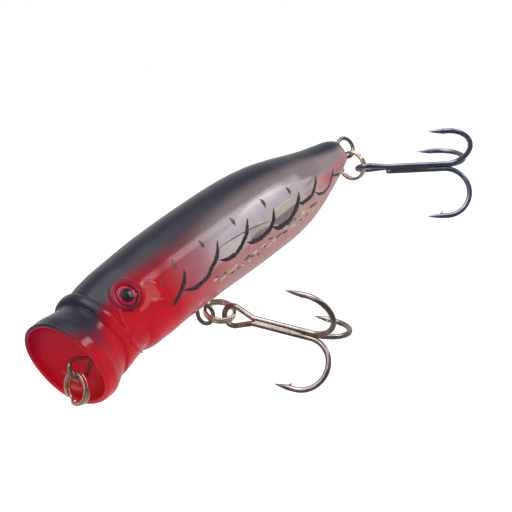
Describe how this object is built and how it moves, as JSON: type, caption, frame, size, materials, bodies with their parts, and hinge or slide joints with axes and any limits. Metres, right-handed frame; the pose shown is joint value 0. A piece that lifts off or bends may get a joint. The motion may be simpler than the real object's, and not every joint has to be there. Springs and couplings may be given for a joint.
{
  "type": "topwater popper lure",
  "caption": "Slender fish-shaped surface lure with a cupped mouth that spits water, domed eyes, and treble hooks hung on split rings under the belly and at the tail.",
  "frame": {"origin": "centre of the line tie's open loop, inside the cupped mouth", "axes": "+X from the mouth to the tail, +Z towards the back, -Y towards the left flank"},
  "size_m": [0.1037, 0.0313, 0.0397],
  "materials": {
    "painted_clear_shell": "clear ABS airbrushed inside and out: dark back, red head, pearl flanks, salmon belly, under a gloss clear coat",
    "silver_foil": "thin silver-lilac reflective foil plate",
    "steel_wire": "bright stainless wire",
    "red_eye_foil": "red foil with a printed black pupil",
    "clear_resin": "clear domed resin",
    "steel_weight": "plain steel",
    "nickel_ring": "polished nickel plate on spring steel wire",
    "black_nickel_hook": "black nickel plated high-carbon wire with needle points",
    "braze_filler": "brazed filler, plated over"
  },
  "bodies": {
    "body": {"body_shell_left": "painted_clear_shell", "body_shell_right": "painted_clear_shell", "reflector_plate": "silver_foil", "line_tie_wire": "steel_wire", "belly_hanger_wire": "steel_wire", "tail_hanger_wire": "steel_wire", "eye_foil_left": "red_eye_foil", "eye_foil_right": "red_eye_foil", "eye_dome_left": "clear_resin", "eye_dome_right": "clear_resin", "tail_weight": "steel_weight", "belly_weight": "steel_weight"},
    "nose_ring": {"nose_split_ring": "nickel_ring"},
    "belly_ring": {"belly_split_ring": "nickel_ring"},
    "tail_ring": {"tail_split_ring": "nickel_ring"},
    "belly_treble": {"belly_double_hook": "black_nickel_hook", "belly_single_hook": "black_nickel_hook", "belly_braze": "braze_filler"},
    "tail_treble": {"tail_double_hook": "black_nickel_hook", "tail_single_hook": "black_nickel_hook", "tail_braze": "braze_filler"},
    "rattle_ball_front": {"rattle_ball_front": "steel_weight"},
    "rattle_ball_middle": {"rattle_ball_middle": "steel_weight"},
    "rattle_ball_rear": {"rattle_ball_rear": "steel_weight"}
  },
  "joints": [
    {"name": "nose_ring_swing", "type": "hinge", "parent": "body", "child": "nose_ring", "pos_m": [0, 0, 0], "axis": [0, 1, 0], "range_deg": [-12, 110]},
    {"name": "belly_ring_swing", "type": "hinge", "parent": "body", "child": "belly_ring", "pos_m": [0.02889, 0, -0.00616], "axis": [0, 1, 0], "range_deg": [0, 75]},
    {"name": "tail_ring_swing", "type": "hinge", "parent": "body", "child": "tail_ring", "pos_m": [0.0809, 0, 0.0033], "axis": [0, 1, 0], "range_deg": [-95, 4]},
    {"name": "belly_hook_swing", "type": "hinge", "parent": "belly_ring", "child": "belly_treble", "pos_m": [0.03315, -0.00169, -0.00934], "axis": [-0.9143, -0.3743, 0.1549], "range_deg": [-95, 30]},
    {"name": "tail_hook_swing", "type": "hinge", "parent": "tail_ring", "child": "tail_treble", "pos_m": [0.08079, -0.00229, -0.0026], "axis": [0.5362, -0.0899, 0.8393], "range_deg": [-60, 90]},
    {"name": "rattle_ball_front_roll", "type": "slide", "parent": "body", "child": "rattle_ball_front", "axis": [0, 1, 0], "range_m": [-0.0027, 0.0027]},
    {"name": "rattle_ball_middle_roll", "type": "slide", "parent": "body", "child": "rattle_ball_middle", "axis": [0, 1, 0], "range_m": [-0.0027, 0.0027]},
    {"name": "rattle_ball_rear_roll", "type": "slide", "parent": "body", "child": "rattle_ball_rear", "axis": [0, 1, 0], "range_m": [-0.0027, 0.0027]}
  ]
}
